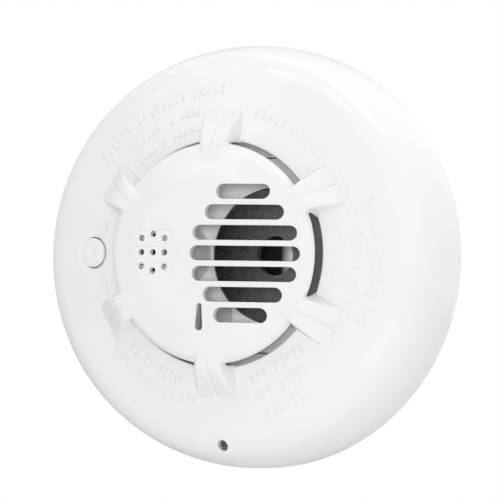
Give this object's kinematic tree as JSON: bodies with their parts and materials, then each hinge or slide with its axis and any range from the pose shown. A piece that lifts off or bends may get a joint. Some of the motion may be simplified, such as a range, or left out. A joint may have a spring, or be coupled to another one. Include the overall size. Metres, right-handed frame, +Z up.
{
  "type": "carbon monoxide detector",
  "caption": "Round wall-mounted gas alarm with a raised spoked cap over a slotted horn grille, a lamp window, a side test button and a twist-lock mounting plate.",
  "frame": {"origin": "centre of the mounting plate's back face, which lies on the wall", "axes": "-Y points out of the wall towards the viewer, +Z is up, +X is to the viewer's right"},
  "size_m": [0.137, 0.05, 0.137],
  "materials": {
    "white_shell": "semi-gloss moulded white",
    "white_matte": "fine matt moulded white",
    "clear_plastic": "clear moulded",
    "board_green": "solder mask",
    "grey_plastic": "fine matt moulded grey",
    "black_plastic": "fine matt moulded black",
    "brass": "rolled sheet",
    "bright_steel": "plated steel",
    "filter_felt": "pressed carbon felt",
    "cell_jacket": "printed film jacket with no marks",
    "copper_wire": "lacquered copper",
    "label_film": "blank printed film"
  },
  "bodies": {
    "plate": {"mounting_plate": "white_matte"},
    "head": {"front_cover": "white_shell", "light_pipe": "clear_plastic", "rear_housing": "white_shell", "circuit_board": "board_green", "horn_holder": "grey_plastic", "horn_body": "black_plastic", "piezo_disc": "brass", "horn_contacts": "bright_steel", "co_sensor": "bright_steel", "sensor_filter": "filter_felt", "sensor_cap": "grey_plastic", "status_leds": "clear_plastic", "test_switch": "black_plastic", "tamper_switch": "black_plastic", "battery_cells": "cell_jacket", "battery_springs": "bright_steel", "battery_plates": "bright_steel", "radio_module": "bright_steel", "antenna": "copper_wire", "microcontroller": "black_plastic", "capacitors": "cell_jacket", "horn_coil": "copper_wire", "housing_screws": "bright_steel", "board_screws": "bright_steel", "rating_label": "label_film"},
    "button": {"test_button": "white_shell", "switch_plunger": "black_plastic"},
    "tamper_pin": {"tamper_plunger": "white_matte"}
  },
  "joints": [
    {"name": "head_twist", "type": "hinge", "parent": "plate", "child": "head", "pos_m": [0, 0, 0], "axis": [0, -1, 0], "range_deg": [0, 15]},
    {"name": "test_button_press", "type": "slide", "parent": "head", "child": "button", "axis": [0, 1, 0], "range_m": [0, 0.001], "stiffness_N_per_m": 1500, "springref_m": -0.0005},
    {"name": "tamper_pin_press", "type": "slide", "parent": "head", "child": "tamper_pin", "axis": [0, -1, 0], "range_m": [0, 0.0012], "stiffness_N_per_m": 500, "springref_m": -0.0006}
  ]
}
